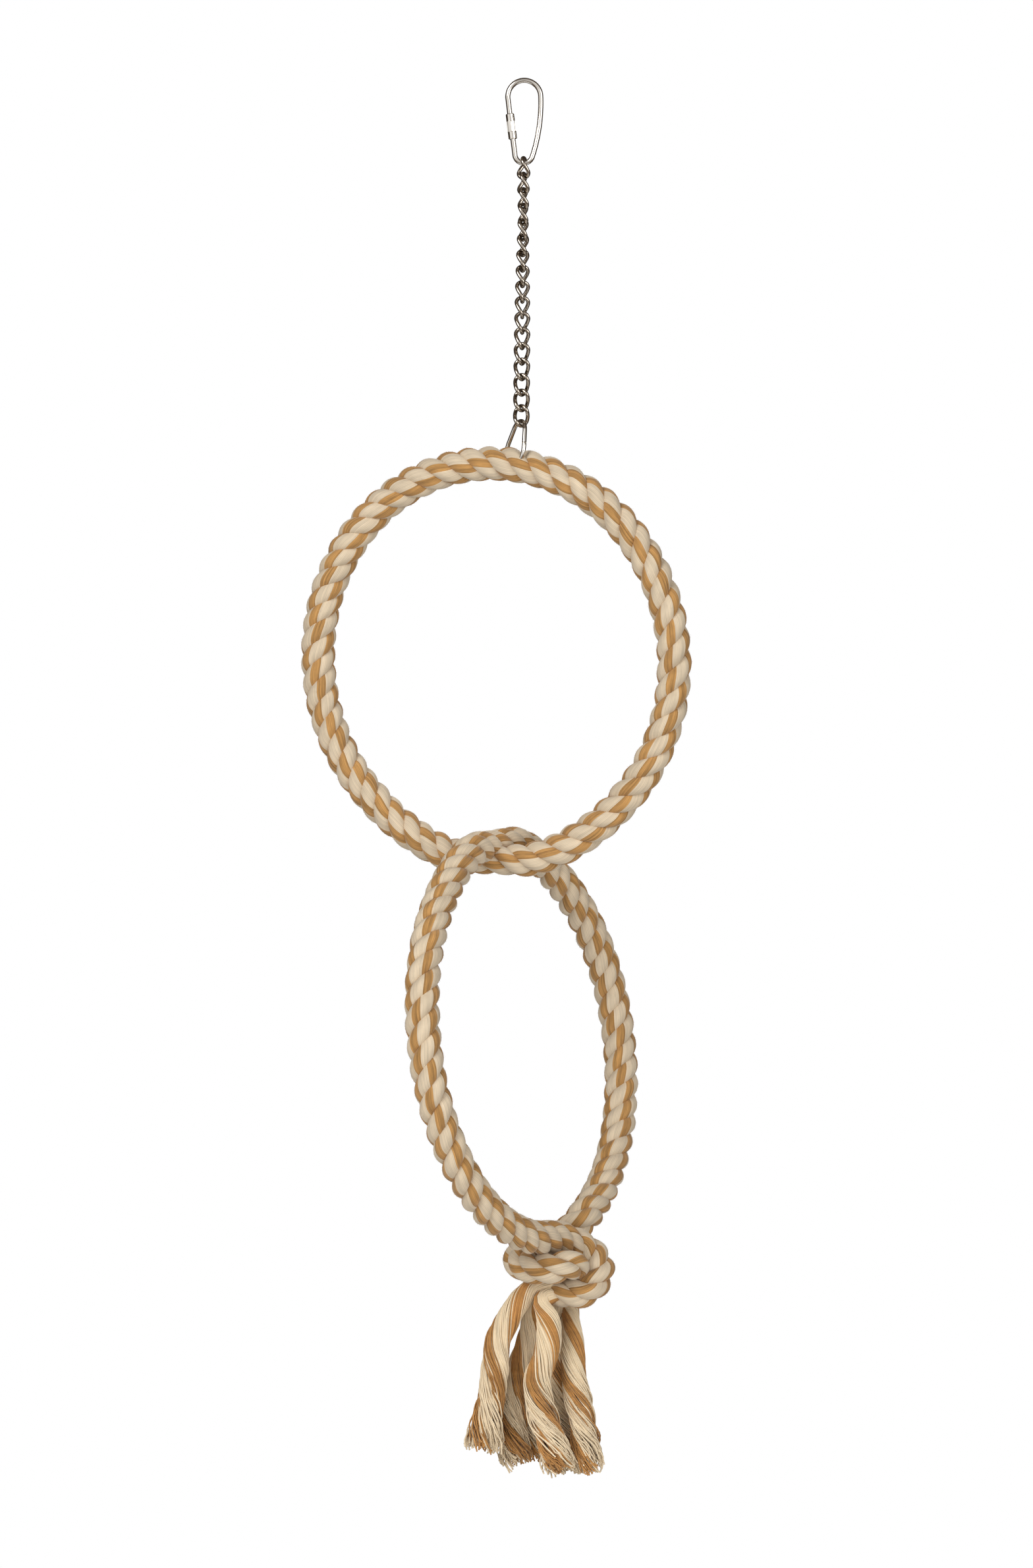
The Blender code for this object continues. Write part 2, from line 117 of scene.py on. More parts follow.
# Routes through the knot and of the six tails, in mm from the lower ring's foot, each with the radius there
KNOT_FRONT_ROUTE = (
    ((9.9, 12.2, -3.0), 7.2),
    ((20.8, 15.5, -8.0), 6.8),
    ((26.4, 7.4, -18.2), 6.8),
    ((19.6, 0.4, -27.8), 6.8),
    ((10.4, 1.4, -29.0), 6.5),
    ((2.0, 3.6, -28.6), 6.2),
)
KNOT_REAR_ROUTE = (
    ((4.9, 27.7, -4.0), 7.0),
    ((-7.6, 22.7, -9.0), 7.2),
    ((-16.1, 10.2, -12.0), 7.2),
    ((-11.6, -3.0, -15.6), 7.0),
    ((1.9, -11.0, -15.1), 7.0),
    ((12.4, -6.0, -13.2), 6.6),
    ((13.3, 5.0, -16.2), 5.8),
    ((10.9, 14.8, -21.4), 5.8),
    ((9.0, 20.8, -28.4), 6.2),
    ((8.2, 22.6, -35.4), 6.4),
)
# Each tail has the rope end that it leaves and its place round that end, in degrees
TAIL_ROUTES = (
    ("front", 90.0, (
        ((-8.4, 4.4, -25.4), 3.8), ((-15.4, 2.6, -33.0), 5.6), ((-22.0, 0.6, -44.0), 6.2),
        ((-26.9, -0.4, -56.0), 6.2), ((-27.8, 0.2, -72.0), 6.2), ((-30.4, 1.2, -88.4), 6.6),
        ((-34.2, 2.2, -109.4), 7.6))),
    ("front", -30.0, (
        ((-7.4, 9.4, -35.0), 3.8), ((-9.4, 13.2, -45.6), 4.8), ((-11.4, 14.2, -56.0), 5.2),
        ((-17.8, 14.8, -74.0), 6.0), ((-19.4, 15.6, -93.0), 6.6), ((-16.0, 16.2, -118.4), 7.2))),
    ("front", 210.0, (
        ((-4.4, -1.4, -34.2), 3.4), ((-0.4, -4.6, -42.8), 6.0), ((-0.8, -6.0, -58.0), 6.4),
        ((-6.2, -5.4, -74.0), 6.4), ((-3.4, -5.0, -90.4), 6.6), ((2.6, -5.4, -106.4), 7.0),
        ((6.6, -5.8, -119.4), 7.4))),
    ("rear", 300.0, (
        ((11.6, 15.8, -46.4), 4.4), ((12.4, 8.6, -58.4), 6.0), ((13.0, 5.0, -74.0), 6.2),
        ((17.4, 4.0, -93.2), 6.6), ((20.6, 4.4, -119.9), 7.2))),
    ("rear", 60.0, (
        ((8.1, 27.4, -48.4), 4.6), ((4.6, 20.2, -62.4), 5.8), ((5.2, 17.4, -83.4), 6.2),
        ((11.2, 18.2, -121.9), 7.2))),
    ("rear", 180.0, (
        ((-3.9, 23.9, -48.4), 4.4), ((-8.8, 29.8, -63.4), 5.8), ((-8.4, 31.2, -87.4), 6.4),
        ((-6.4, 31.2, -117.4), 7.2))),
)

# Rope make-up
UPPER_RING_POINTS = 360
LOWER_RING_POINTS = 340
LAY_TURNS = 19                      # turns of the strands round one ring
LAY_STEPS = 40                      # mesh rings in one turn
LAY_DRIFT = 1.3                     # how far the lay runs ahead on one side of the ring, in radians
HELIX_RADIUS = 4.35 * MM
STRAND_RADIUS = 4.6 * MM
STRAND_YARNS = 30
YARN_TURNS = -41                    # the yarns' counter-twist round one ring lets them run along the rope
BANDS = 2                           # tan bands on a strand
BAND_SHIFTS = (0.0, 0.55, -0.45)    # each strand's tan bands start a little apart, in radians
TAN_SHARE = 0.38
UNEVEN_SCALE = 38.0                 # fineness of the rope's unevenness
UNEVEN_LAY = 0.5                    # how far it turns the lay, in radians
UNEVEN_SIZE = 0.10                  # how much it swells a strand, as a share
UNEVEN_TWIST = 1.3                  # how far it turns the yarns of a strand, in radians
GROOVE_DEPTH = 0.034                # between yarns, as a share of the strand's radius
YARN_SIZES = (0.988, 1.012)         # least and most reach of a yarn, as shares of that radius
STRANDS_APART = 100.0               # keeps the yarns of the strands apart in the random values
HAIR_DENSITY = 480000.0             # loose fibres on a square metre of a strand
HAIR_LENGTH = 1.8 * MM
HAIR_RADIUS = 0.03 * MM
HAIR_SIZES = (0.5, 1.2)
HAIR_LEAN = (0.95, 1.45)            # from upright, in radians
KNOT_SWELL = 1.16                   # the soft rope in the knot fills out past the CAD solid's radius
EASE_STEP = 1.5 * MM                # the lower rope's run is set at even steps
EASE_PASSES = 6                     # and its corners are rounded this many times
TIP_REACH = 4.5 * MM                # the rope is drawn in over this length at its tips
TIP_SIZE = 0.78                     # to this share of its size
NECK_SOFT = 15.4 * MM               # where the rings bear, the ropes press this thick into each other
NECK_ROLL = 1.5 * MM                # and roll this far past each other

# Tail make-up
TAIL_ROOT_INSIDE = 5.0 * MM         # the yarns start this far inside the rope's end
TAIL_ROOT_SWELL = 4.2 * MM          # least radius of a tail outside it
TAIL_ROUTE_STEPS = 6
TAIL_EASE_PASSES = 3
TAIL_STEPS = 48                     # points along a yarn
TAIL_YARNS = 200
TAIL_YARN_RADIUS = 0.42 * MM
TAIL_YARN_SIDES = 5
TAIL_TWIST = -1.35                  # turns that the unlaid strand keeps over its length
TAIL_TURN_STEP = 1.7                # each tail is turned on from the one before, in radians
TAIL_TAN_SHARE = 0.36
TAIL_FAN = 0.20                     # how far the loosest yarns spread at the cut end, as a share
FAN_RANGE = (-0.4, 1.0)             # each yarn's own part in that
GOLDEN_TURN = 2.399963              # from one yarn to the next round the section, in radians
FILL_POWER = 0.34                   # under a half, so that more yarns lie near the outside
LOOSE_POWER = 2.4                   # the yarns come loose late along the tail
LOCK_SWAY = (1.0 * MM, 8.5 * MM)    # sway of a lock of yarns: everywhere, and more where it is loose
LOCK_WAVES = 2.6
LOCK_SCALE = 1.7
YARN_SWAY = (0.6 * MM, 6.2 * MM)    # the same for a single yarn
YARN_WAVES = 5.5
KINK_SWAY = 4.5 * MM                # crimp at the tips of the yarns
KINK_WAVES = 24.0
KINK_POWER = 7.0
TAILS_APART = 9.7                   # these keep the tails and the yarns apart in the noise
YARNS_APART = 7.31
KINKS_APART = 3.17
BAND_BLUR = 0.30                    # yarns stray this far over the edge of a band, in radians
CUT_BACK = 0.09                     # the shortest yarn stops this share before the end

# Seeds of the random values
STRAND_TONE_SEED = 3
STRAND_SIZE_SEED = 4
HAIR_LEAN_SEED = 5
HAIR_SIZE_SEED = 6
TAIL_CUT_SEED = 5
TAIL_TONE_SEED = 11
TAIL_BLUR_SEED = 17

# Cotton finish, with colours in sRGB from 0 to 255
ROPE_CREAM = (218, 199, 171)
ROPE_TAN = (181, 136, 80)
ROPE_SLUB_SCALE = 900.0
TAIL_CREAM = (232, 211, 177)
TAIL_TAN = (181, 131, 73)
TAIL_SLUB_SCALE = 1100.0
TAN_EDGE = (0.35, 0.65)             # the tan mask is soft between these values
MEAN_TONE = 0.97
TONE_SPREAD = (0.13, 0.28)          # among cream yarns, and what tan adds to it
SLUB_SPREAD = 2.2                   # slubs spread the tone this much more than yarns do
SLUB_ROUGHNESS = 0.6
SLUB_STRETCH = 0.16                 # slubs are long along the yarn
PAINTED_SHADE_TONE = (0.88, 0.14)           # painted shade: the tone in a groove or deep in a tail, and what the crest of a yarn adds
PATCH_SCALE = 70.0
PATCH_SPREAD = 0.22
FIBRE_SCALE = 3.0                   # fibres are this much finer than slubs
FLECK_SPREAD = (0.20, 0.45)         # among cream fibres, and what tan adds to it
FIBRE_BUMP = 0.35
FIBRE_DEPTH = 0.2 * MM
COTTON_ROUGHNESS = 0.9
COTTON_SPECULAR = 0.25
COTTON_SHEEN = 0.25
COTTON_SHEEN_ROUGHNESS = 0.5

# Metal finish and fineness
NICKEL = (223, 217, 208)
NICKEL_ROUGHNESS = 0.04
CHAIN_NICKEL = (178, 168, 155)
CHAIN_ROUGHNESS = 0.07
CORE_STEEL = (150, 147, 142)
CORE_ROUGHNESS = 0.25
CLOUD_SCALE = 260.0
CLOUD_EDGE = (0.30, 0.62)
CLOUD_DARK = 0.92
CLOUD_ROUGHNESS = 0.06
BEND_STEPS = 40                     # points in a bend of the quick link or the hanger
LINK_STEPS = 20                     # points in a bend of a chain link
WIRE_BEVEL = 6
NUT_CHAMFER = 0.3 * MM
NUT_SIDES = 72
NUT_SHARP = 25.0 * DEG

# Studio: an edge is the two values between which a screen or a dark place fades
FLOOR_SIDES = 64
FLOOR_RADIUS = 0.72
FLOOR_HEIGHT = -0.9
FLOOR_COLOUR = (0.85, 0.85, 0.84, 1.0)
FLOOR_ROUGHNESS = 0.8
DARK = (0.060, 0.048, 0.038, 1.0)
WARM = (0.27, 0.22, 0.185, 1.0)
PALE = (0.95, 0.95, 0.95, 1.0)
WHITE = (1.0, 1.0, 1.0, 1.0)
FRONT_EDGE = (-0.50, -0.28)
TOP_EDGE = (0.40, 0.80)
FOOT_EDGE = (-0.45, -0.20)
CAMERA_SHAPE = (5.0, 0.0, 2.0)
CAMERA_EDGE = (0.7, 1.1)
CAMERA_SHADE = 0.5
ROOM_SCALE = 3.2
ROOM_PATCH_EDGE = (0.36, 0.60)
ROOM_EDGE = (-0.35, 0.05)
TENT_STRENGTH = 0.70
MIRROR_STRENGTH = 1.15
MIDDLE = (0.0, 0.0, -0.4)
LIGHTS = (                          # name, place, target, size, power, seen in the metal
    ("key", (-1.3, -1.7, 0.9), MIDDLE, 1.2, 31.0, True),
    ("fill", (1.6, -1.5, 0.1), MIDDLE, 1.4, 14.0, True),
    ("low", (-0.2, -0.75, -0.82), (0.0, 0.0, -0.66), 0.5, 1.1, False),
    ("back", (0.4, 1.8, 0.8), MIDDLE, 1.2, 24.0, False),
)


def linear(rgb):
    """Scene-linear colour of an sRGB colour in 0 to 255."""
    def channel(c):
        c /= 255.0
        return c / 12.92 if c <= 0.04045 else ((c + 0.055) / 1.055) ** 2.4
    return (*(channel(c) for c in rgb), 1.0)


# Node tree helpers

def feed(tree, socket, value):
    if isinstance(value, bpy.types.NodeSocket):
        tree.links.new(value, socket)
    else:
        socket.default_value = value


def node(tree, kind, inputs=None, **settings):
    """A new node, its settings, and its inputs by name or number."""
    made = tree.nodes.new(kind)
    for key, value in settings.items():
        setattr(made, key, value)
    for key, value in (inputs or {}).items():
        feed(tree, made.inputs[key], value)
    return made


def take(tree, kind, inputs=None, **settings):
    """The first output of a new node."""
    return node(tree, kind, inputs, **settings).outputs[0]


def calc(tree, operation, *values):
    return take(tree, "ShaderNodeMath", dict(enumerate(values)), operation=operation)


def centred(tree, value):
    return calc(tree, "SUBTRACT", value, 0.5)


def remap(tree, value, edge, start=0.0, end=1.0):
    """A value that goes from start to end across an edge."""
    low_mark, high_mark = edge
    return take(tree, "ShaderNodeMapRange", {0: value, 1: low_mark, 2: high_mark, 3: start, 4: end})


def added(tree, one, two):
    return take(tree, "ShaderNodeVectorMath", {0: one, 1: two}, operation="ADD")


def scaled(tree, value, factor):
    return take(tree, "ShaderNodeVectorMath", {0: value, "Scale": factor}, operation="SCALE")


def turned(tree, value, axis, angle):
    return take(tree, "ShaderNodeVectorRotate", {"Vector": value, "Axis": axis, "Angle": angle},
                rotation_type="AXIS_ANGLE")


def combine(tree, x, y, z):
    return take(tree, "ShaderNodeCombineXYZ", {0: x, 1: y, 2: z})


def noise(tree, place, scale, detail, roughness=0.5):
    return node(tree, "ShaderNodeTexNoise",
                {"Vector": place, "Scale": scale, "Detail": detail, "Roughness": roughness})


def noise_vector(tree, place, scale):
    """Three noise values about zero, each within about half."""
    made = noise(tree, place, scale, 1.0)
    return take(tree, "ShaderNodeVectorMath", {0: made.outputs["Color"], 1: (0.5, 0.5, 0.5)},
                operation="SUBTRACT")


def new_tree(kind, name, inputs, outputs):
    """A node tree with named sockets; returns it, what it is given and where its results go."""
    tree = bpy.data.node_groups.new(name, kind)
    for way, sockets in (("INPUT", inputs), ("OUTPUT", outputs)):
        for label, socket in sockets:
            tree.interface.new_socket(label, in_out=way, socket_type="NodeSocket" + socket)
    return tree, tree.nodes.new("NodeGroupInput").outputs, tree.nodes.new("NodeGroupOutput").inputs


def end_tree(tree, geometry, material, result):
    """Ends a tree in plain meshes with their material on."""
    geometry = take(tree, "GeometryNodeRealizeInstances", {"Geometry": geometry})
    geometry = take(tree, "GeometryNodeSetMaterial", {"Geometry": geometry, "Material": material})
    tree.links.new(geometry, result["Geometry"])


def resampled(tree, curve, count):
    return take(tree, "GeometryNodeResampleCurve", {"Curve": curve, "Count": count}, mode="COUNT")


def position(tree):
    return take(tree, "GeometryNodeInputPosition")


def circle(tree, sides, radius):
    return take(tree, "GeometryNodeCurvePrimitiveCircle", {"Resolution": sides, "Radius": radius},
                mode="RADIUS")


def store(tree, geometry, name, value, data_type="FLOAT", domain="POINT"):
    return take(tree, "GeometryNodeStoreNamedAttribute",
                {"Geometry": geometry, "Name": name, "Value": value},
                data_type=data_type, domain=domain)


def named(tree, name, data_type="FLOAT"):
    return take(tree, "GeometryNodeInputNamedAttribute", {"Name": name}, data_type=data_type)


def random_value(tree, limits, ident, seed):
    low_limit, high_limit = limits
    return node(tree, "FunctionNodeRandomValue",
                {2: low_limit, 3: high_limit, "ID": ident, "Seed": seed}).outputs[1]


def swept(tree, path, section, scale, spare):
    """A smooth mesh of the section swept along the path, without the attributes that are spare by then."""
    mesh = take(tree, "GeometryNodeCurveToMesh",
                {"Curve": path, "Profile Curve": section, "Scale": scale, "Fill Caps": True})
    for name in spare:
        mesh = take(tree, "GeometryNodeRemoveAttribute", {"Geometry": mesh, "Name": name})
    return take(tree, "GeometryNodeSetShadeSmooth", {"Geometry": mesh})


# Scene helpers

def show(obj):
    bpy.context.scene.collection.objects.link(obj)
    return obj


def plain_mesh(source, name):
    """The evaluated shape of an object, as a mesh."""
    bpy.context.view_layer.update()
    depsgraph = bpy.context.evaluated_depsgraph_get()
    mesh = bpy.data.meshes.new_from_object(source.evaluated_get(depsgraph))
    mesh.name = name
    return mesh


def grow(tree, source, name, values):
    """The tree's result on an object, as a plain mesh object."""
    modifier = source.modifiers.new("grow", "NODES")
    modifier.node_group = tree
    for item in tree.interface.items_tree:
        if item.item_type == "SOCKET" and item.in_out == "INPUT" and item.name in values:
            modifier[item.identifier] = values[item.name]
    mesh = plain_mesh(source, name)
    source.modifiers.remove(modifier)
    return show(bpy.data.objects.new(name, mesh))


def line(name, points, radii=None, cyclic=False):
    """A poly curve through the points, with its radii; it feeds a tree and isn't itself a piece."""
    curve = bpy.data.curves.new(name, "CURVE")
    curve.dimensions = "3D"
    spline = curve.splines.new("POLY")
    spline.points.add(len(points) - 1)
    for i, p in enumerate(points):
        spline.points[i].co = (*p, 1.0)
        spline.points[i].radius = radii[i] if radii is not None else 1.0
    spline.use_cyclic_u = cyclic
    return show(bpy.data.objects.new(name, curve))


def discard(source):
    """Removes a line that has fed its pieces."""
    curve = source.data
    bpy.data.objects.remove(source, do_unlink=True)
    bpy.data.curves.remove(curve)


def dress(obj, body, cad_node):
    """Puts a finished piece on its body, in place of its CAD node."""
    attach(obj, body)
    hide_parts(cad_node)


# Shader groups

def mix_colour(tree, kind, share, one, two):
    made = node(tree, "ShaderNodeMix", data_type="RGBA", blend_type=kind)
    feed(tree, made.inputs[0], share)
    feed(tree, made.inputs[6], one)
    feed(tree, made.inputs[7], two)
    return made.outputs[2]


def shaded(tree, colour, tone):
    """A colour made lighter or darker by a tone."""
    grey = take(tree, "ShaderNodeCombineColor", {0: tone, 1: tone, 2: tone})
    return mix_colour(tree, "MULTIPLY", 1.0, colour, grey)


def attribute(tree, name, output="Fac"):
    return node(tree, "ShaderNodeAttribute", attribute_name=name).outputs[output]


def object_place(tree):
    return node(tree, "ShaderNodeTexCoord").outputs["Object"]


def new_material(name):
    """A new material, with its tree and its shader."""
    mat = bpy.data.materials.new(name)
    mat.use_nodes = True
    return mat, mat.node_tree, mat.node_tree.nodes["Principled BSDF"]


def yarn_colour_group():
    """Colour and normal of spun cotton: cream or tan by the tan mask, each yarn its own tone, with slubs and
    with painted shade in grooves and deep in tails.
    """
    group, given, result = new_tree(
        "ShaderNodeTree", "spun_cotton",
        (("Cream", "Color"), ("Tan", "Color"), ("Tan Mask", "Float"), ("Tone", "Float"), ("Unshaded", "Float"),
         ("Place", "Vector"), ("Slub Scale", "Float")),
        (("Color", "Color"), ("Normal", "Vector")))

    def by_mask(pair):
        cream_value, tan_adds = pair
        return calc(group, "MULTIPLY_ADD", mask, tan_adds, cream_value)

    mask = remap(group, given["Tan Mask"], TAN_EDGE)
    base = mix_colour(group, "MIX", mask, given["Cream"], given["Tan"])
    slub = noise(group, given["Place"], given["Slub Scale"], 3.0, SLUB_ROUGHNESS).outputs["Fac"]
    patch = noise(group, object_place(group), PATCH_SCALE, 2.0).outputs["Fac"]
    fibre_scale = calc(group, "MULTIPLY", given["Slub Scale"], FIBRE_SCALE)
    fibre = noise(group, given["Place"], fibre_scale, 2.0).outputs["Fac"]
    spread = by_mask(TONE_SPREAD)
    groove_shade_tone, lit_crest_adds = PAINTED_SHADE_TONE
    tone = calc(group, "MULTIPLY_ADD", centred(group, given["Tone"]), spread, MEAN_TONE)
    slub_spread = calc(group, "MULTIPLY", spread, SLUB_SPREAD)
    tone = calc(group, "MULTIPLY_ADD", centred(group, slub), slub_spread, tone)
    # painted shade: the colour is darkened in the grooves between yarns and deep inside a tail
    unshaded = calc(group, "MULTIPLY_ADD", given["Unshaded"], lit_crest_adds, groove_shade_tone)
    tone = calc(group, "MULTIPLY", tone, unshaded)
    tone = calc(group, "MULTIPLY_ADD", centred(group, patch), PATCH_SPREAD, tone)
    tone = calc(group, "MULTIPLY_ADD", centred(group, fibre), by_mask(FLECK_SPREAD), tone)
    group.links.new(shaded(group, base, tone), result["Color"])
    bump = node(group, "ShaderNodeBump", {"Strength": FIBRE_BUMP, "Distance": FIBRE_DEPTH, "Height": fibre})
    group.links.new(bump.outputs[0], result["Normal"])
    return group


def cotton_material(name, group, cream, tan, slub_scale):
    mat, tree, shader = new_material(name)
    shader.inputs["Roughness"].default_value = COTTON_ROUGHNESS
    shader.inputs["Specular IOR Level"].default_value = COTTON_SPECULAR
    shader.inputs["Sheen Weight"].default_value = COTTON_SHEEN
    shader.inputs["Sheen Roughness"].default_value = COTTON_SHEEN_ROUGHNESS
    section = attribute(tree, "section", "Vector")
    along = combine(tree, 0.0, 0.0, calc(tree, "MULTIPLY", attribute(tree, "along"), SLUB_STRETCH))
    cotton_node = node(tree, "ShaderNodeGroup", node_tree=group)
    for label, value in (("Cream", linear(cream)), ("Tan", linear(tan)), ("Tan Mask", attribute(tree, "tan")),
                         ("Tone", attribute(tree, "tone")), ("Unshaded", attribute(tree, "unshaded")),
                         ("Place", added(tree, section, along)), ("Slub Scale", slub_scale)):
        feed(tree, cotton_node.inputs[label], value)
    tree.links.new(cotton_node.outputs["Color"], shader.inputs["Base Color"])
    tree.links.new(cotton_node.outputs["Normal"], shader.inputs["Normal"])
    return mat


def plated_group():
    """Bright plate: colour and roughness with faint clouding."""
    group, given, result = new_tree(
        "ShaderNodeTree", "bright_plate", (("Tint", "Color"), ("Roughness", "Float")),
        (("Color", "Color"), ("Roughness", "Float")))
    cloud = noise(group, object_place(group), CLOUD_SCALE, 3.0).outputs["Fac"]
    tone = remap(group, cloud, CLOUD_EDGE, CLOUD_DARK, 1.0)
    group.links.new(shaded(group, given["Tint"], tone), result["Color"])
    roughness = calc(group, "MULTIPLY_ADD", cloud, CLOUD_ROUGHNESS, given["Roughness"])
    group.links.new(roughness, result["Roughness"])
    return group


def plated_material(name, group, tint, roughness):
    mat, tree, shader = new_material(name)
    shader.inputs["Metallic"].default_value = 1.0
    plate_node = node(tree, "ShaderNodeGroup", {"Tint": linear(tint), "Roughness": roughness},
                      node_tree=group)
    tree.links.new(plate_node.outputs["Color"], shader.inputs["Base Color"])
    tree.links.new(plate_node.outputs["Roughness"], shader.inputs["Roughness"])
    return mat


# Geometry trees

def laid_strand_tree():
    """One strand of a laid rope: a helix round the path, with a tube of yarn ridges swept along it.

    The path's radius at each point is the rope's size there, 1 for full size. Loose fibres lie on the strand.
    """
    tree, given, result = new_tree("GeometryNodeTree", "laid_strand", (
        ("Geometry", "Geometry"), ("Steps", "Int"), ("Turns", "Float"), ("Phase", "Float"),
        ("Helix Radius", "Float"), ("Strand Radius", "Float"), ("Lay Drift", "Float"), ("Yarns", "Int"),
        ("Yarn Turns", "Float"), ("Band Phase", "Float"), ("Tan Share", "Float"), ("Hair Density", "Float"),
        ("Hair Length", "Float"), ("Hair Radius", "Float"), ("Seed", "Float"), ("Material", "Material")),
        (("Geometry", "Geometry"),))

    # Helix round the path
    path = resampled(tree, given["Geometry"], given["Steps"])
    spline = node(tree, "GeometryNodeSplineParameter")
    factor = spline.outputs["Factor"]
    path = store(tree, path, "along", spline.outputs["Length"])
    normal = take(tree, "GeometryNodeInputNormal")
    tangent = take(tree, "GeometryNodeInputTangent")
    size = take(tree, "GeometryNodeInputRadius")
    place = added(tree, position(tree), combine(tree, given["Seed"], 0.0, 0.0))
    uneven = node(tree, "ShaderNodeSeparateXYZ", {0: noise_vector(tree, place, UNEVEN_SCALE)}).outputs
    turn = calc(tree, "MULTIPLY_ADD", factor, calc(tree, "MULTIPLY", given["Turns"], TAU), given["Phase"])
    drift = calc(tree, "COSINE", calc(tree, "MULTIPLY", factor, TAU))
    turn = calc(tree, "MULTIPLY_ADD", drift, given["Lay Drift"], turn)
    turn = calc(tree, "MULTIPLY_ADD", uneven[0], UNEVEN_LAY, turn)
    path = store(tree, path, "out", turned(tree, normal, tangent, turn), "FLOAT_VECTOR")
    path = store(tree, path, "fullness", calc(tree, "MULTIPLY_ADD", uneven[1], UNEVEN_SIZE, size))
    out = named(tree, "out", "FLOAT_VECTOR")
    move = scaled(tree, out, calc(tree, "MULTIPLY", given["Helix Radius"], size))
    path = take(tree, "GeometryNodeSetPosition", {"Geometry": path, "Offset": move})
    path = take(tree, "GeometryNodeSetCurveNormal", {"Curve": path, "Normal": out}, mode="FREE")
    yarn_turn = calc(tree, "MULTIPLY", given["Yarn Turns"], TAU)
    tilt = calc(tree, "MULTIPLY_ADD", factor, yarn_turn, given["Band Phase"])
    tilt = calc(tree, "MULTIPLY_ADD", uneven[2], UNEVEN_TWIST, tilt)
    path = take(tree, "GeometryNodeSetCurveTilt", {"Curve": path, "Tilt": tilt})

    # Section with a crest and a groove for each yarn, the groove marked for painted shade
    section = circle(tree, calc(tree, "MULTIPLY", given["Yarns"], 2.0), given["Strand Radius"])
    index = take(tree, "GeometryNodeInputIndex")
    groove = calc(tree, "MODULO", index, 2.0)
    yarn = calc(tree, "FLOOR", calc(tree, "DIVIDE", index, 2.0))
    yarn_share = calc(tree, "DIVIDE", yarn, given["Yarns"])
    band = calc(tree, "FRACT", calc(tree, "MULTIPLY", yarn_share, BANDS))
    section = store(tree, section, "tan", calc(tree, "LESS_THAN", band, given["Tan Share"]))
    # painted shade: 1 on a yarn's crest, 0 in the groove between yarns, where the colour is darkened
    section = store(tree, section, "unshaded", calc(tree, "SUBTRACT", 1.0, groove))
    ident = calc(tree, "MULTIPLY_ADD", given["Seed"], STRANDS_APART, yarn)
    section = store(tree, section, "tone", random_value(tree, (0.0, 1.0), ident, STRAND_TONE_SEED))
    section = store(tree, section, "section", position(tree), "FLOAT_VECTOR")
    yarn_size = random_value(tree, YARN_SIZES, ident, STRAND_SIZE_SEED)
    spot = scaled(tree, position(tree), calc(tree, "MULTIPLY_ADD", groove, -GROOVE_DEPTH, yarn_size))
    section = take(tree, "GeometryNodeSetPosition", {"Geometry": section, "Position": spot})
    mesh = swept(tree, path, section, named(tree, "fullness"), ("out", "fullness"))

    # Loose fibres
    roots = node(tree, "GeometryNodeDistributePointsOnFaces",
                 {"Mesh": mesh, "Density": given["Hair Density"], "Seed": given["Seed"]})
    hair = node(tree, "GeometryNodeMeshCone",
                {"Vertices": 3, "Radius Top": 0.0, "Radius Bottom": given["Hair Radius"],
                 "Depth": given["Hair Length"]})
    least_lean, most_lean = HAIR_LEAN
    lean = take(tree, "FunctionNodeRandomValue",
                {0: (least_lean, 0.0, 0.0), 1: (most_lean, 0.0, TAU), "Seed": HAIR_LEAN_SEED},
                data_type="FLOAT_VECTOR")
    lie = take(tree, "FunctionNodeRotateRotation", {0: roots.outputs["Rotation"], 1: lean},
               rotation_space="LOCAL")
    least_size, most_size = HAIR_SIZES
    hair_size = node(tree, "FunctionNodeRandomValue", {2: least_size, 3: most_size, "Seed": HAIR_SIZE_SEED})
    hairs = node(tree, "GeometryNodeInstanceOnPoints",
                 {"Points": roots.outputs["Points"], "Instance": hair.outputs[0], "Rotation": lie,
                  "Scale": hair_size.outputs[1]})
    joined = node(tree, "GeometryNodeJoinGeometry", {0: mesh})
    tree.links.new(hairs.outputs[0], joined.inputs[0])
    end_tree(tree, joined.outputs[0], given["Material"], result)
    return tree


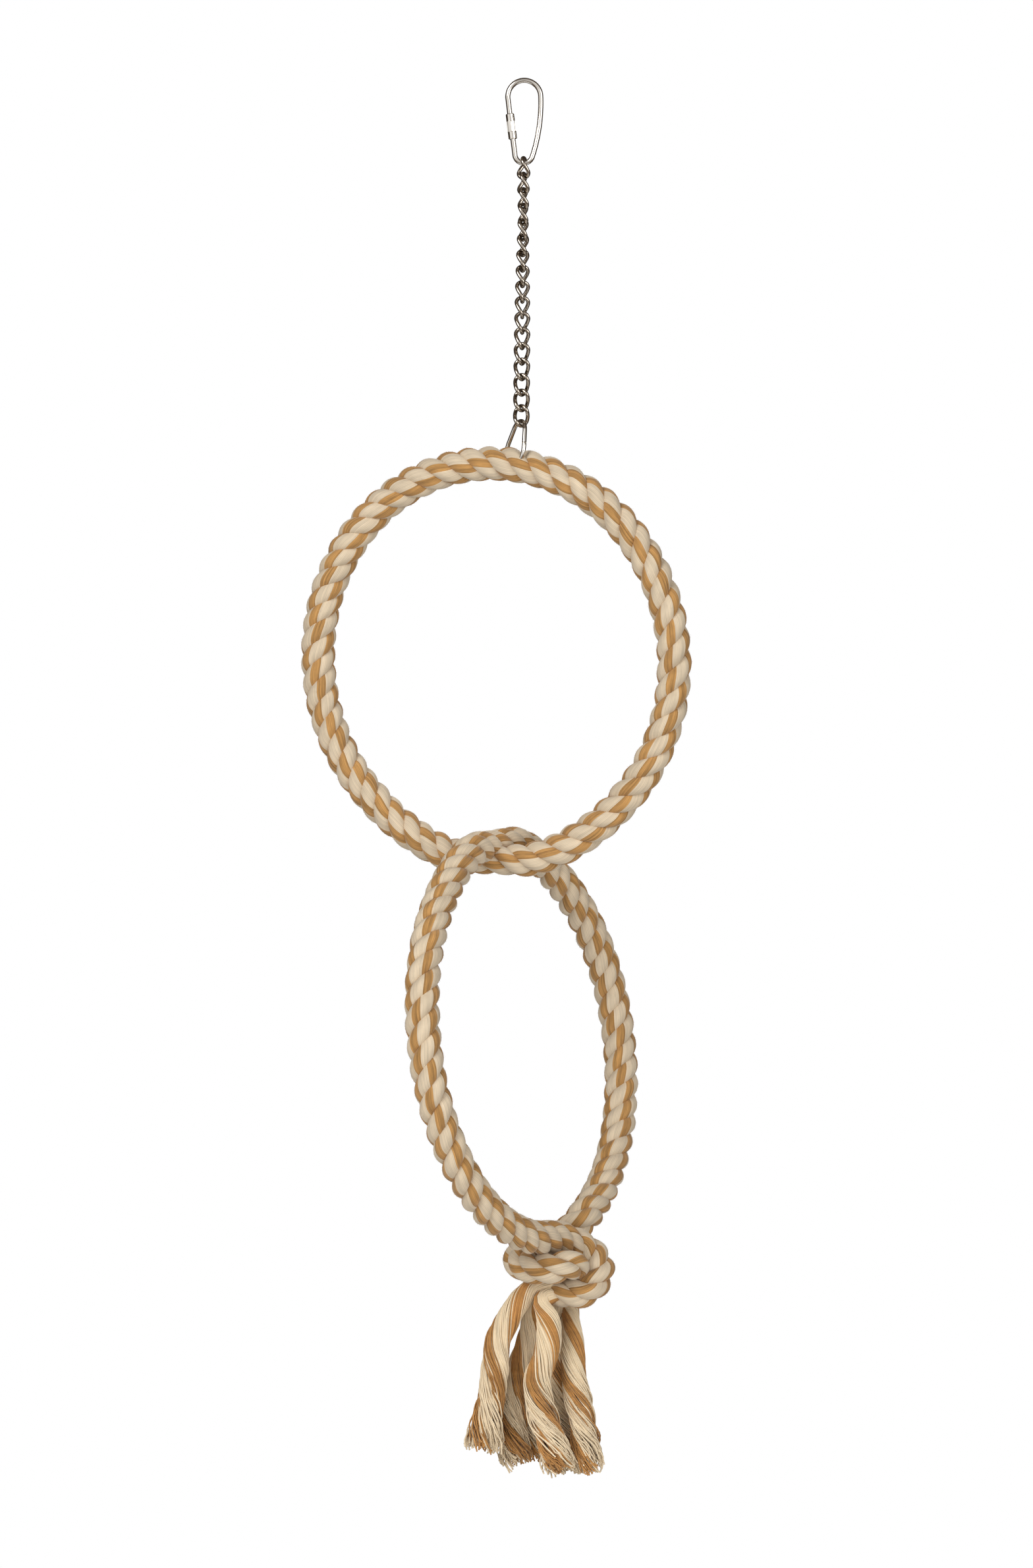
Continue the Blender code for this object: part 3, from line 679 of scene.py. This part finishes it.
def yarn_bundle_tree():
    """An unlaid strand: loose yarns that still follow the strand's twist and fan out at the cut end.

    The path's radius at each point is the bundle's radius there, in metres.
    """
    tree, given, result = new_tree("GeometryNodeTree", "yarn_bundle", (
        ("Geometry", "Geometry"), ("Steps", "Int"), ("Yarns", "Int"), ("Yarn Radius", "Float"),
        ("Twist", "Float"), ("Phase", "Float"), ("Tan Share", "Float"), ("Fan", "Float"), ("Seed", "Int"),
        ("Material", "Material")), (("Geometry", "Geometry"),))

    def own_random(limits, seed_step):
        """A yarn's own value."""
        return random_value(tree, limits, yarn, calc(tree, "ADD", given["Seed"], seed_step))

    def sway(spot_in_noise, scale, reach):
        return scaled(tree, noise_vector(tree, spot_in_noise, scale), reach)

    def sway_reach(pair):
        everywhere, where_loose = pair
        return calc(tree, "MULTIPLY_ADD", loose, where_loose, everywhere)

    # A copy of the path for each yarn, at its own place in the section
    path = resampled(tree, given["Geometry"], given["Steps"])
    copies = node(tree, "GeometryNodeDuplicateElements", {"Geometry": path, "Amount": given["Yarns"]},
                  domain="SPLINE")
    path = store(tree, copies.outputs[0], "yarn", copies.outputs[1], "INT", "CURVE")
    yarn = named(tree, "yarn", "INT")
    spline = node(tree, "GeometryNodeSplineParameter")
    factor = spline.outputs["Factor"]
    path = store(tree, path, "along", spline.outputs["Length"])
    yarn_share = calc(tree, "DIVIDE", calc(tree, "ADD", yarn, 0.5), given["Yarns"])
    share = calc(tree, "POWER", yarn_share, FILL_POWER)
    spot = calc(tree, "MULTIPLY", yarn, GOLDEN_TURN)
    twist = calc(tree, "MULTIPLY", given["Twist"], TAU)
    turn = calc(tree, "ADD", spot, calc(tree, "MULTIPLY_ADD", factor, twist, given["Phase"]))
    out = turned(tree, take(tree, "GeometryNodeInputNormal"),
                 take(tree, "GeometryNodeInputTangent"), turn)

    # Fan and sway towards the cut end
    loose = calc(tree, "POWER", factor, LOOSE_POWER)
    own_fan = calc(tree, "MULTIPLY", given["Fan"], random_value(tree, FAN_RANGE, yarn, given["Seed"]))
    fan = calc(tree, "MULTIPLY", loose, own_fan)
    size = take(tree, "GeometryNodeInputRadius")
    reach = calc(tree, "MULTIPLY", calc(tree, "MULTIPLY", share, calc(tree, "ADD", 1.0, fan)), size)
    lock_wave = calc(tree, "MULTIPLY", factor, LOCK_WAVES)
    lock = combine(tree, calc(tree, "MULTIPLY", share, calc(tree, "COSINE", spot)),
                   calc(tree, "MULTIPLY", share, calc(tree, "SINE", spot)),
                   calc(tree, "MULTIPLY_ADD", given["Seed"], TAILS_APART, lock_wave))
    single = combine(tree, calc(tree, "MULTIPLY", yarn, YARNS_APART),
                     calc(tree, "MULTIPLY", factor, YARN_WAVES), given["Seed"])
    kink = combine(tree, calc(tree, "MULTIPLY", yarn, KINKS_APART),
                   calc(tree, "MULTIPLY", factor, KINK_WAVES), given["Seed"])
    kink_reach = calc(tree, "MULTIPLY", calc(tree, "POWER", factor, KINK_POWER), KINK_SWAY)
    move = added(tree, sway(lock, LOCK_SCALE, sway_reach(LOCK_SWAY)),
                 sway(single, 1.0, sway_reach(YARN_SWAY)))
    move = added(tree, move, sway(kink, 1.0, kink_reach))
    move = added(tree, move, scaled(tree, out, reach))
    path = take(tree, "GeometryNodeSetPosition", {"Geometry": path, "Offset": move})

    # Colour, painted shade, cut and section of each yarn
    blur = own_random((-BAND_BLUR, BAND_BLUR), TAIL_BLUR_SEED)
    band = calc(tree, "FRACT", calc(tree, "DIVIDE", calc(tree, "ADD", spot, blur), math.pi))
    path = store(tree, path, "tan", calc(tree, "LESS_THAN", band, given["Tan Share"]))
    path = store(tree, path, "tone", own_random((0.0, 1.0), TAIL_TONE_SEED))
    # painted shade: yarns deep inside the bundle are darkened, the outer yarns left lit
    path = store(tree, path, "unshaded", calc(tree, "POWER", share, 2.0))
    cut = own_random((0.0, 1.0), TAIL_CUT_SEED)
    end = calc(tree, "MULTIPLY_ADD", calc(tree, "MULTIPLY", cut, cut), -CUT_BACK, 1.0)
    path = take(tree, "GeometryNodeTrimCurve", {"Curve": path, 2: 0.0, 3: end}, mode="FACTOR")
    section = circle(tree, TAIL_YARN_SIDES, given["Yarn Radius"])
    section = store(tree, section, "section", position(tree), "FLOAT_VECTOR")
    mesh = swept(tree, path, section, 1.0, ("yarn",))
    end_tree(tree, mesh, given["Material"], result)
    return tree


# Shapes shared with the CAD model

def window(distance, reach):
    """1 at no distance, falling smoothly to 0 at the reach."""
    if abs(distance) >= reach:
        return 0.0
    return math.cos(0.5 * math.pi * distance / reach) ** 2


def smooth_route(stations, steps):
    """Catmull-Rom points and radii through given stations of (point, radius)."""
    points = [Vector(p) for p, _ in stations]
    radii = [r for _, r in stations]
    points = [2 * points[0] - points[1]] + points + [2 * points[-1] - points[-2]]
    radii = [radii[0]] + radii + [radii[-1]]
    out = []
    for i in range(1, len(points) - 2):
        a, b, c, d = points[i - 1:i + 3]
        for step in range(steps):
            t = step / steps
            p = 0.5 * (2 * b + (c - a) * t + (2 * a - 5 * b + 4 * c - d) * t ** 2
                       + (3 * b - a - 3 * c + d) * t ** 3)
            out.append((p, radii[i] + (radii[i + 1] - radii[i]) * t))
    out.append((points[-2], radii[-2]))
    return out


class Oval:
    """A slightly oval ring in a plane turned by yaw about Z and leaned back by pitch."""

    def __init__(self, yaw, pitch, lean, peak_at, peak):
        self.along = Vector((math.cos(yaw), math.sin(yaw), 0.0))
        tilt = math.sin(pitch)
        self.up = Vector((-tilt * math.sin(yaw), tilt * math.cos(yaw), math.cos(pitch)))
        self.lean = lean
        self.peak_at = peak_at
        self.peak = peak
        self.centre = Vector((0.0, 0.0, 0.0))

    def offset(self, angle):
        a = angle - self.lean
        radius = RING_LONG * RING_SHORT / math.hypot(RING_SHORT * math.cos(a), RING_LONG * math.sin(a))
        radius += self.peak * window(angle - self.peak_at, PEAK_REACH)
        return radius * (math.sin(angle) * self.along + math.cos(angle) * self.up)

    def place(self, angle, point):
        self.centre = Vector(point) - self.offset(angle)

    def point(self, angle):
        return self.centre + self.offset(angle)


def pear_wire(top_r, bottom_r, length, mouth_top, mouth, bow=None):
    """Open pear of wire in (side, height), top of the centreline at height 0."""
    spread = length - top_r - bottom_r
    lean = math.asin((bottom_r - top_r) / spread)
    top = Vector((0.0, -top_r))
    bottom = Vector((0.0, bottom_r - length))

    def arc(centre, radius, start, end):
        angles = np.linspace(start, end, BEND_STEPS)
        return [centre + radius * Vector((math.cos(a), math.sin(a))) for a in angles]

    leg = []
    leg_top_turn = leg_bottom_turn = lean
    if bow:
        to_top = bow - top_r
        to_bottom = bow - bottom_r
        drop = (to_top ** 2 + spread ** 2 - to_bottom ** 2) / (2.0 * spread)
        middle = top - Vector((math.sqrt(to_top ** 2 - drop ** 2), drop))
        leg_top_turn = math.atan2(top.y - middle.y, top.x - middle.x)
        leg_bottom_turn = math.atan2(bottom.y - middle.y, bottom.x - middle.x)
        leg = arc(middle, bow, leg_bottom_turn, leg_top_turn)[2:-1]
    lower_bend = arc(bottom, bottom_r, math.pi - lean, 2.0 * math.pi + leg_bottom_turn)
    upper_bend = arc(top, top_r, leg_top_turn, math.pi - lean)
    down = (lower_bend[0] - upper_bend[-1]).normalized()
    end_low = upper_bend[-1] + down * (mouth_top + mouth)
    end_high = upper_bend[-1] + down * mouth_top
    return [end_low] + lower_bend + leg + upper_bend + [end_high], upper_bend[-1], down


def curb_link(plane, top):
    """Centreline of one chain link twisted about its length, hung from the height of its top."""
    half_width = (CHAIN_INNER_WIDTH + CHAIN_WIRE) / 2.0
    half_length = (CHAIN_PITCH + GAP + CHAIN_WIRE) / 2.0
    leg = half_length - half_width
    angles = np.linspace(0.0, math.pi, LINK_STEPS)
    flat = [(half_width * math.cos(a), leg + half_width * math.sin(a)) for a in angles]
    flat += [(-half_width, leg * t) for t in (0.5, 0.0, -0.5)]
    flat += [(-x, -z) for x, z in flat[:LINK_STEPS]]
    flat += [(half_width, leg * t) for t in (-0.5, 0.0, 0.5)]
    points = []
    for x, z in flat:
        share = z / half_length
        turn = plane - CHAIN_TWIST * (1.5 * share - 0.5 * share ** 3)
        points.append(Vector((x * math.cos(turn), x * math.sin(turn), top - half_length + z)))
    return points


def wire_piece(name, points, diameter, mat, cyclic=False):
    """A smooth bar of round wire as a mesh piece."""
    source = line(name + "_line", points, cyclic=cyclic)
    source.data.bevel_depth = diameter / 2.0
    source.data.bevel_resolution = WIRE_BEVEL
    source.data.use_fill_caps = True
    source.data.splines[0].use_smooth = True
    source.data.materials.append(mat)
    mesh = plain_mesh(source, name)
    discard(source)
    return show(bpy.data.objects.new(name, mesh))


def sleeve_nut(name, top, down, mat):
    """Sleeve bored for the wire, with turned ends and a hexagon whose corners are turned off."""
    hex_top = (NUT_LENGTH - NUT_HEX_LENGTH) / 2.0
    end_radius = NUT_ROUND / 2.0
    flat = NUT_FLATS / 2.0
    corner = flat / math.cos(math.pi / 6.0)
    half = ((0.0, LINK_BODY_WIRE / 2.0 + GAP), (0.0, end_radius - NUT_CHAMFER), (NUT_CHAMFER, end_radius),
            (hex_top, end_radius), (hex_top, flat), (hex_top + NUT_CHAMFER, corner))
    rings = half + tuple((NUT_LENGTH - depth, limit) for depth, limit in reversed(half))
    axis = Vector((down.x, 0.0, down.y))
    across = Vector((0.0, 1.0, 0.0))
    side = axis.cross(across)
    bm = bmesh.new()
    loops = []
    for depth, limit in rings:
        loop = []
        for i in range(NUT_SIDES):
            a = TAU * i / NUT_SIDES
            r = min(limit, flat / math.cos(a % (math.pi / 3.0) - math.pi / 6.0))
            loop.append(bm.verts.new(top + axis * depth + r * (math.cos(a) * across + math.sin(a) * side)))
        loops.append(loop)
    for one, two in zip(loops, loops[1:] + loops[:1]):
        for i in range(NUT_SIDES):
            j = (i + 1) % NUT_SIDES
            bm.faces.new((one[i], one[j], two[j], two[i])).smooth = True
    bmesh.ops.recalc_face_normals(bm, faces=bm.faces)
    mesh = bpy.data.meshes.new(name)
    bm.to_mesh(mesh)
    bm.free()
    mesh.set_sharp_from_angle(angle=NUT_SHARP)
    mesh.materials.append(mat)
    return show(bpy.data.objects.new(name, mesh))


# Camera
camera_data = bpy.data.cameras.new("camera")
camera_data.sensor_width = FILM_WIDTH
camera_data.lens = FILM_WIDTH * FOCAL_PIXELS / IMAGE_LONG_SIDE
camera_data.clip_end = VIEW_DEPTH
camera = show(bpy.data.objects.new("camera", camera_data))
camera.location = EYE
camera.rotation_euler = (90.0 * DEG, ROLL, 0.0)
scene = bpy.context.scene
scene.camera = camera
scene.view_settings.view_transform = "Standard"

# Materials
cotton = yarn_colour_group()
rope_cotton = cotton_material("rope_cotton", cotton, ROPE_CREAM, ROPE_TAN, ROPE_SLUB_SCALE)
tail_cotton = cotton_material("tail_cotton", cotton, TAIL_CREAM, TAIL_TAN, TAIL_SLUB_SCALE)
plate = plated_group()
nickel = plated_material("bright_nickel", plate, NICKEL, NICKEL_ROUGHNESS)
chain_nickel = plated_material("chain_nickel", plate, CHAIN_NICKEL, CHAIN_ROUGHNESS)
steel = plated_material("core_wire_steel", plate, CORE_STEEL, CORE_ROUGHNESS)

# Where the chain, the hanger and the rings hang, as in the CAD model
link_wire = LINK_BODY_WIRE / 2.0 - LINK_BODY_LENGTH
link_radius = LINK_BODY_WIRE / 2.0
link_tops = []
for _ in range(CHAIN_LINKS):
    link_tops.append(link_wire + link_radius + GAP + CHAIN_WIRE / 2.0)
    link_wire = link_tops[-1] - (CHAIN_PITCH + GAP + CHAIN_WIRE)
    link_radius = CHAIN_WIRE / 2.0
hanger_top = Vector((0.0, 0.0, link_wire + link_radius + GAP + HANGER_WIRE / 2.0))
hanger_up = Vector((math.sin(HANGER_LEAN), 0.0, math.cos(HANGER_LEAN)))
upper = Oval(UPPER_YAW, UPPER_PITCH, UPPER_LEAN, UPPER_CROSS, UPPER_SAG)
core_drop = HANGER_LENGTH - HANGER_WIRE / 2.0 - GAP - CORE_WIRE / 2.0
upper.place(UPPER_HANG, hanger_top - hanger_up * core_drop)
upper_nip = upper.point(UPPER_CROSS)
lower_nip = upper_nip + Vector((0.0, 0.0, NECK_DIAMETER + GAP + NECK_SLOPE_ROOM))
lower = Oval(LOWER_YAW, LOWER_PITCH, LOWER_LEAN, LOWER_CROSS, LOWER_PEAK)
lower.place(LOWER_CROSS, lower_nip)
foot = lower.point(math.pi)


# Runs of rope: lists of a point and a size or a radius

def pressed(points, nip, way):
    """Points and sizes of a ring's rope, pressed where the rings bear.

    Its outer face stays as in the CAD model.
    """
    out = []
    for p in points:
        share = window((p - nip).length, NECK_REACH)
        shift = Vector((0.0, -NECK_ROLL, (NECK_SOFT - NECK_DIAMETER) / 2.0)) * share * way
        out.append((p + shift, 1.0 - (1.0 - NECK_SOFT / ROPE_DIAMETER) * share))
    return out


def from_foot(stations):
    """Given stations in metres, in their place under the lower ring."""
    return [(foot + Vector(p) * MM, r * MM) for p, r in stations]


def knot_route(angle, stations):
    """Points and radii of one rope end, from the ring's end face to its tip."""
    start = lower.point(angle)
    inward = lower.point(angle + (LOWER_CROSS - angle) / HALF_RING_STEPS)
    outward = (start - inward).normalized()
    lead = (start + outward * (GAP + KNOT_LEAD), KNOT_LEAD_RADIUS)
    route = [(start + outward * GAP, KNOT_LEAD_RADIUS)]
    return route + smooth_route([lead] + from_foot(stations), ROUTE_STEPS)


def knot_sizes(route):
    """Points and sizes of the soft rope along one rope end."""
    return [(p, min(1.0, r * KNOT_SWELL / (ROPE_DIAMETER / 2.0))) for p, r in route]


def ease(points, passes):
    """Rounds the corners of a run of points, its ends kept."""
    points = np.array(points)
    for _ in range(passes):
        points[1:-1] = 0.25 * points[:-2] + 0.5 * points[1:-1] + 0.25 * points[2:]
    return [Vector(p) for p in points]


def eased(run):
    """The rope's run at even steps with its corners eased, drawn in at both tips where its strands part."""
    points = np.array([p for p, _ in run])
    reach = np.concatenate(([0.0], np.cumsum(np.linalg.norm(np.diff(points, axis=0), axis=1))))
    even = np.linspace(0.0, reach[-1], int(reach[-1] / EASE_STEP) + 1)
    sizes = np.interp(even, reach, [size for _, size in run])
    points = np.column_stack([np.interp(even, reach, points[:, axis]) for axis in range(3)])
    tip = np.minimum(even, even[-1] - even)
    sizes *= np.interp(tip, (0.0, TIP_REACH), (TIP_SIZE, 1.0))
    return list(zip(ease(points, EASE_PASSES), sizes.tolist()))


front_knot = knot_route(LOWER_FRONT_END, KNOT_FRONT_ROUTE)
rear_knot = knot_route(LOWER_REAR_END, KNOT_REAR_ROUTE)

# Tails: the cords, each along the route of its CAD solid
bundle = yarn_bundle_tree()
rope_ends = {"front": front_knot, "rear": rear_knot}
for number, (end, place, stations) in enumerate(TAIL_ROUTES, 1):
    tip = rope_ends[end][-1][0]
    outward = (tip - rope_ends[end][-2][0]).normalized()
    side = outward.cross(Vector((0.0, 0.0, 1.0))).normalized()
    offset = TAIL_ROOT_RING * (math.cos(place * DEG) * side + math.sin(place * DEG) * side.cross(outward))
    root = tip + outward * GAP + offset
    lead = (root + outward * TAIL_LEAD, TAIL_ROOT_RADIUS)
    route = [(root, TAIL_ROOT_RADIUS)] + smooth_route([lead] + from_foot(stations), TAIL_ROUTE_STEPS)
    route = [(p, max(r, TAIL_ROOT_SWELL)) for p, r in route]
    route = [(root - outward * TAIL_ROOT_INSIDE, TAIL_ROOT_RADIUS / 2.0)] + route
    points = ease([p for p, _ in route], TAIL_EASE_PASSES)
    name = "tail_strand_%d" % number
    source = line(name + "_line", points, [r for _, r in route])
    tail = grow(bundle, source, name + "_yarns", {
        "Steps": TAIL_STEPS, "Yarns": TAIL_YARNS, "Yarn Radius": TAIL_YARN_RADIUS, "Twist": TAIL_TWIST,
        "Phase": TAIL_TURN_STEP * number, "Tan Share": TAIL_TAN_SHARE, "Fan": TAIL_FAN, "Seed": number,
        "Material": tail_cotton})
    discard(source)
    dress(tail, "lower_ring", name)
    points = [tuple(p) for p in points]

# Rope of both rings
strand = laid_strand_tree()
yarn_turns_per_lay = YARN_TURNS / LAY_TURNS


def lay_rope(ring, run, turns, drift, first_seed, cad_nodes, cyclic=False):
    """Lays three strands along a run of rope, each in place of a CAD node."""
    source = line(ring + "_path", [p for p, _ in run], [size for _, size in run], cyclic=cyclic)
    for i, (letter, cad_node) in enumerate(zip("abc", cad_nodes)):
        piece = grow(strand, source, "%s_rope_strand_%s" % (ring, letter), {
            "Steps": int(LAY_STEPS * turns), "Turns": turns, "Phase": TAU * i / 3, "Lay Drift": drift,
            "Helix Radius": HELIX_RADIUS, "Strand Radius": STRAND_RADIUS, "Yarns": STRAND_YARNS,
            "Yarn Turns": yarn_turns_per_lay * turns,
            "Band Phase": yarn_turns_per_lay * TAU * i / 3 + BAND_SHIFTS[i], "Tan Share": TAN_SHARE,
            "Hair Density": HAIR_DENSITY, "Hair Length": HAIR_LENGTH, "Hair Radius": HAIR_RADIUS,
            "Seed": first_seed + i, "Material": rope_cotton})
        dress(piece, ring + "_ring", cad_node)
    discard(source)


ring_angles = [TAU * i / UPPER_RING_POINTS for i in range(UPPER_RING_POINTS)]
upper_run = pressed([upper.point(a) for a in ring_angles], upper_nip, 1.0)
lay_rope("upper", upper_run, float(LAY_TURNS), LAY_DRIFT, 0.0, ["upper_ring_rope"] * 3, cyclic=True)

# The lower rope runs from one tip through the knot, round the ring and through the knot to the other tip
lower_angles = np.linspace(LOWER_REAR_END, LOWER_FRONT_END, LOWER_RING_POINTS)
lower_run = knot_sizes(reversed(rear_knot))
lower_run += pressed([lower.point(a) for a in lower_angles], lower_nip, -1.0)
lower_run += knot_sizes(front_knot)
lower_run = eased(lower_run)
upper_path = [p for p, _ in upper_run]
lower_path = [p for p, _ in lower_run]
lower_length = sum((b - a).length for a, b in zip(lower_path, lower_path[1:]))
ring_length = sum((b - a).length for a, b in zip(upper_path, upper_path[1:] + upper_path[:1]))
lay_rope("lower", lower_run, LAY_TURNS * lower_length / ring_length, 0.0, 3.0,
         ["lower_ring_rope", "knot_front_end", "knot_rear_end"])

# Metal
mouth_drop = NUT_DROP + NUT_LENGTH - NUT_LAP - LINK_BODY_MOUTH
pear, leg_top, leg_down = pear_wire(LINK_BODY_TOP_R, LINK_BODY_BOTTOM_R, LINK_BODY_LENGTH, mouth_drop,
                                    LINK_BODY_MOUTH, LINK_BODY_BOW)
pear = [(s, 0.0, LINK_BODY_WIRE / 2.0 + h) for s, h in pear]
link_body = wire_piece("quick_link_wire", pear, LINK_BODY_WIRE, nickel)
dress(link_body, "quick_link", "quick_link_body")
nut_end = leg_top + leg_down * NUT_DROP
nut_top = Vector((nut_end.x, 0.0, LINK_BODY_WIRE / 2.0 + nut_end.y))
dress(sleeve_nut("sleeve_nut", nut_top, leg_down, nickel), "nut", "quick_link_nut")
for number, top in enumerate(link_tops, 1):
    plane = CHAIN_FIRST_TURN + (number - 1) * CHAIN_TURN_STEP
    link = wire_piece("curb_link_%02d" % number, curb_link(plane, top), CHAIN_WIRE, chain_nickel, cyclic=True)
    dress(link, "link_%02d" % number, "chain_link_%02d" % number)
hanger_axis = Vector((math.cos(HANGER_TURN), math.sin(HANGER_TURN), 0.0))
hanger_axis = (hanger_axis - hanger_up * hanger_axis.dot(hanger_up)).normalized()
teardrop, _, _ = pear_wire(HANGER_TOP_R, HANGER_BOTTOM_R, HANGER_LENGTH, HANGER_BUTT_DROP, HANGER_BUTT)
teardrop = [hanger_top + hanger_axis * s + hanger_up * h for s, h in teardrop]
dress(wire_piece("hanger_loop", teardrop, HANGER_WIRE, nickel), "upper_ring", "hanger_wire")
for name in ("upper_ring_core", "lower_ring_core"):
    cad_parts[name].data.materials.clear()
    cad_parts[name].data.materials.append(steel)

# Floor
bpy.ops.mesh.primitive_circle_add(vertices=FLOOR_SIDES, radius=FLOOR_RADIUS, fill_type="NGON",
                                  location=(0.0, 0.0, FLOOR_HEIGHT))
floor = bpy.context.object
floor.name = "floor"
floor_paint, _, floor_shader = new_material("floor_paint")
floor_shader.inputs["Base Color"].default_value = FLOOR_COLOUR
floor_shader.inputs["Roughness"].default_value = FLOOR_ROUGHNESS
floor.data.materials.append(floor_paint)

# World: white to the camera, a pale tent in front to cloth, and to metal a screen in a darker room
world = bpy.data.worlds.new("studio")
world.use_nodes = True
scene.world = world
tree = world.node_tree
tree.nodes.clear()
direction = node(tree, "ShaderNodeTexCoord").outputs["Generated"]
axes = node(tree, "ShaderNodeSeparateXYZ", {0: direction}).outputs
front = remap(tree, axes[1], FRONT_EDGE, 1.0, 0.0)
above = remap(tree, axes[2], TOP_EDGE, 1.0, 0.0)
below = remap(tree, axes[2], FOOT_EDGE)
level = calc(tree, "MULTIPLY", above, below)
camera_side = take(tree, "ShaderNodeVectorMath", {0: direction, 1: CAMERA_SHAPE}, operation="MULTIPLY")
camera_side = node(tree, "ShaderNodeVectorMath", {0: camera_side}, operation="LENGTH").outputs["Value"]
camera_side = remap(tree, camera_side, CAMERA_EDGE, CAMERA_SHADE, 1.0)
patches = remap(tree, noise(tree, direction, ROOM_SCALE, 2.0).outputs["Fac"], ROOM_PATCH_EDGE)
over = remap(tree, axes[1], ROOM_EDGE, 1.0, 0.0)
over = calc(tree, "MULTIPLY", over, calc(tree, "SUBTRACT", 1.0, level))
room = mix_colour(tree, "MIX", calc(tree, "MULTIPLY", patches, over), DARK, WARM)
mirrored = calc(tree, "MULTIPLY", calc(tree, "MULTIPLY", front, level), camera_side)
tent_colour = mix_colour(tree, "MIX", front, DARK, PALE)
mirror_colour = mix_colour(tree, "MIX", mirrored, room, PALE)
rays = node(tree, "ShaderNodeLightPath").outputs
tent = node(tree, "ShaderNodeBackground", {"Color": tent_colour, "Strength": TENT_STRENGTH})
mirror = node(tree, "ShaderNodeBackground", {"Color": mirror_colour, "Strength": MIRROR_STRENGTH})
white = node(tree, "ShaderNodeBackground", {"Color": WHITE, "Strength": 1.0})
studio = node(tree, "ShaderNodeMixShader",
              {0: rays["Is Glossy Ray"], 1: tent.outputs[0], 2: mirror.outputs[0]})
both = node(tree, "ShaderNodeMixShader",
            {0: rays["Is Camera Ray"], 1: studio.outputs[0], 2: white.outputs[0]})
tree.links.new(both.outputs[0], node(tree, "ShaderNodeOutputWorld").inputs["Surface"])

# Lights
for name, place, target, size, power, in_metal in LIGHTS:
    light_data = bpy.data.lights.new(name, "AREA")
    light_data.shape = "SQUARE"
    light_data.size = size
    light_data.energy = power
    light = show(bpy.data.objects.new(name, light_data))
    light.location = place
    light.rotation_euler = (Vector(target) - Vector(place)).to_track_quat("-Z", "Y").to_euler()
    light.visible_glossy = in_metal
